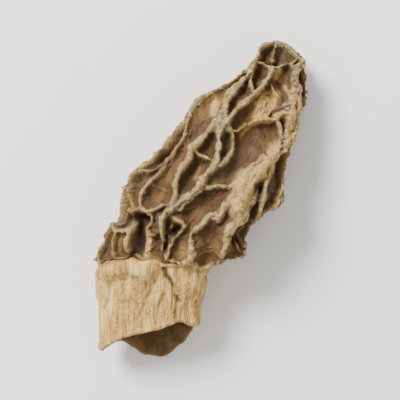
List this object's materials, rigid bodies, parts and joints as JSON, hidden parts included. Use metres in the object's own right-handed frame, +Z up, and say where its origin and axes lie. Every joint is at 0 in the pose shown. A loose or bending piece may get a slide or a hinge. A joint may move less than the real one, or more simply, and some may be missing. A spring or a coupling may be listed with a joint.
{
  "type": "dried yellow morel mushroom",
  "caption": "Dried morel lying on its side: a long pitted cap with a raised net of ribs, and a short fibrous stem, torn open to a hollow that runs up into the cap.",
  "frame": {"origin": "centre of the bounding box's bottom, on the surface that the mushroom lies on", "axes": "+X along the cap to its tip, +Y to the cap's left seen from above, +Z up"},
  "size_m": [0.0784, 0.0318, 0.0249],
  "materials": {
    "dried_flesh": "dry, matt tan flesh with pale rough ribs and a cream stem"
  },
  "bodies": {
    "root": {"morel": "dried_flesh"}
  },
  "joints": []
}
